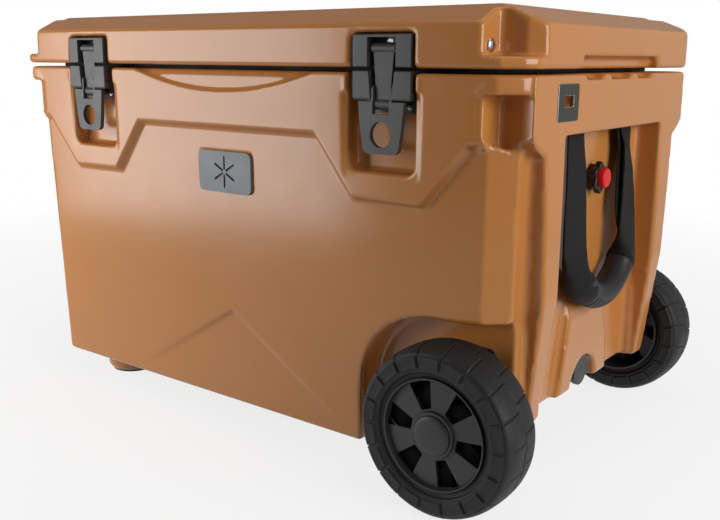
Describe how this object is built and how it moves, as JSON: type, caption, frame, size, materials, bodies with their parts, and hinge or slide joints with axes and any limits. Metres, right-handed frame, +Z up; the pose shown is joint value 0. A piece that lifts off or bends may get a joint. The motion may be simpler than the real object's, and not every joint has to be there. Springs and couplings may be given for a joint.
{
  "type": "wheeled cooler",
  "caption": "Insulated moulded cooler box with hinged lid, toggle latches, side wheels, webbing carry handle, folding tow handle, drain and vent button.",
  "frame": {"origin": "on the ground, in the middle of the overall box", "axes": "+X along the length towards the wheel end, +Y towards the lid hinges at the back, +Z up"},
  "size_m": [0.821, 0.542, 0.518],
  "materials": {
    "body_plastic": "softly glossy moulded skin",
    "foam": "cut foam",
    "seal_rubber": "matt",
    "latch_plastic": "fine satin grain",
    "black_plastic": "satin",
    "tyre": "matt",
    "wheel_plastic": "satin",
    "bush_plastic": "smooth",
    "plate_metal": "brushed",
    "badge": "satin paint",
    "button_red": "glossy",
    "webbing": "flat woven webbing",
    "grip_rubber": "matt",
    "tube_metal": "powder coat",
    "steel": "satin"
  },
  "bodies": {
    "cooler_body": {"body_shell": "body_plastic", "body_foam": "foam", "body_foam_plug": "seal_rubber", "feet": "body_plastic", "foot_pads": "seal_rubber", "foot_screws": "steel", "opener_plate": "plate_metal", "front_badge": "badge", "badge_pins": "steel", "gasket": "seal_rubber", "latch_base_left": "latch_plastic", "latch_base_right": "latch_plastic", "latch_base_screws": "steel", "latch_pins": "steel", "hinge_rods": "steel", "hinge_rod_caps": "black_plastic", "axle_plates": "steel", "axle_plate_screws": "steel", "axle_bolts": "steel", "axle_washers": "steel", "axle_nuts": "steel", "drain_fitting": "black_plastic", "drain_seal": "seal_rubber", "drain_nut": "black_plastic", "valve_body": "black_plastic", "valve_spring": "steel", "valve_nut": "black_plastic", "carry_strap_tops": "webbing", "carry_anchor_pins": "steel", "tow_brackets": "black_plastic", "tow_bracket_screws": "steel", "tow_pins": "steel"},
    "lid": {"lid_shell": "body_plastic", "lid_foam": "foam", "lid_foam_plug": "seal_rubber", "lid_corner_studs": "steel", "keeper_left": "latch_plastic", "keeper_right": "latch_plastic", "keeper_screws": "steel"},
    "lever_left": {"latch_lever_left": "latch_plastic", "link_pin_left": "steel"},
    "lever_right": {"latch_lever_right": "latch_plastic", "link_pin_right": "steel"},
    "link_left": {"latch_link_left": "latch_plastic"},
    "link_right": {"latch_link_right": "latch_plastic"},
    "wheel_front": {"tyre_front": "tyre", "rim_front": "wheel_plastic", "bush_front": "bush_plastic", "hub_cap_front": "wheel_plastic"},
    "wheel_rear": {"tyre_rear": "tyre", "rim_rear": "wheel_plastic", "bush_rear": "bush_plastic", "hub_cap_rear": "wheel_plastic"},
    "drain_cap": {"drain_cap": "black_plastic"},
    "valve_button": {"valve_button": "button_red"},
    "carry_handle": {"carry_webbing": "webbing", "carry_grip": "grip_rubber"},
    "tow_handle": {"tow_frame": "tube_metal", "tow_grip": "grip_rubber"}
  },
  "joints": [
    {"name": "lid_hinge", "type": "hinge", "parent": "cooler_body", "child": "lid", "pos_m": [0, 0.249, 0.452], "axis": [-1, 0, 0], "range_deg": [0, 100]},
    {"name": "latch_lever_left_swing", "type": "hinge", "parent": "cooler_body", "child": "lever_left", "pos_m": [-0.252, -0.235, 0.434], "axis": [-1, 0, 0], "range_deg": [0, 90]},
    {"name": "latch_link_left_swing", "type": "hinge", "parent": "lever_left", "child": "link_left", "pos_m": [-0.252, -0.233, 0.4195], "axis": [1, 0, 0], "range_deg": [0, 108]},
    {"name": "latch_lever_right_swing", "type": "hinge", "parent": "cooler_body", "child": "lever_right", "pos_m": [0.231, -0.235, 0.434], "axis": [-1, 0, 0], "range_deg": [0, 90]},
    {"name": "latch_link_right_swing", "type": "hinge", "parent": "lever_right", "child": "link_right", "pos_m": [0.231, -0.233, 0.4195], "axis": [1, 0, 0], "range_deg": [0, 108]},
    {"name": "wheel_front_spin", "type": "hinge", "parent": "cooler_body", "child": "wheel_front", "pos_m": [0.3185, -0.2385, 0.092], "axis": [0, 1, 0], "continuous": true},
    {"name": "wheel_rear_spin", "type": "hinge", "parent": "cooler_body", "child": "wheel_rear", "pos_m": [0.3185, 0.2385, 0.092], "axis": [0, 1, 0], "continuous": true},
    {"name": "drain_cap_turn", "type": "hinge", "parent": "cooler_body", "child": "drain_cap", "pos_m": [0.3555, 0, 0.097], "axis": [1, 0, 0], "range_deg": [0, 360]},
    {"name": "valve_button_push", "type": "slide", "parent": "cooler_body", "child": "valve_button", "axis": [-1, 0, 0], "range_m": [0, 0.0025], "stiffness_N_per_m": 800, "deforming": ["valve_spring"]},
    {"name": "carry_handle_swing", "type": "hinge", "parent": "cooler_body", "child": "carry_handle", "pos_m": [0.3685, 0, 0.3887], "axis": [0, -1, 0], "range_deg": [0, 76]},
    {"name": "tow_handle_swing", "type": "hinge", "parent": "cooler_body", "child": "tow_handle", "pos_m": [-0.3945, 0, 0.35], "axis": [0, 1, 0], "range_deg": [0, 140]}
  ],
  "couplings": [
    {"joint": "latch_link_left_swing", "follows": "latch_lever_left_swing", "ratio": 1.2},
    {"joint": "latch_link_right_swing", "follows": "latch_lever_right_swing", "ratio": 1.2}
  ]
}
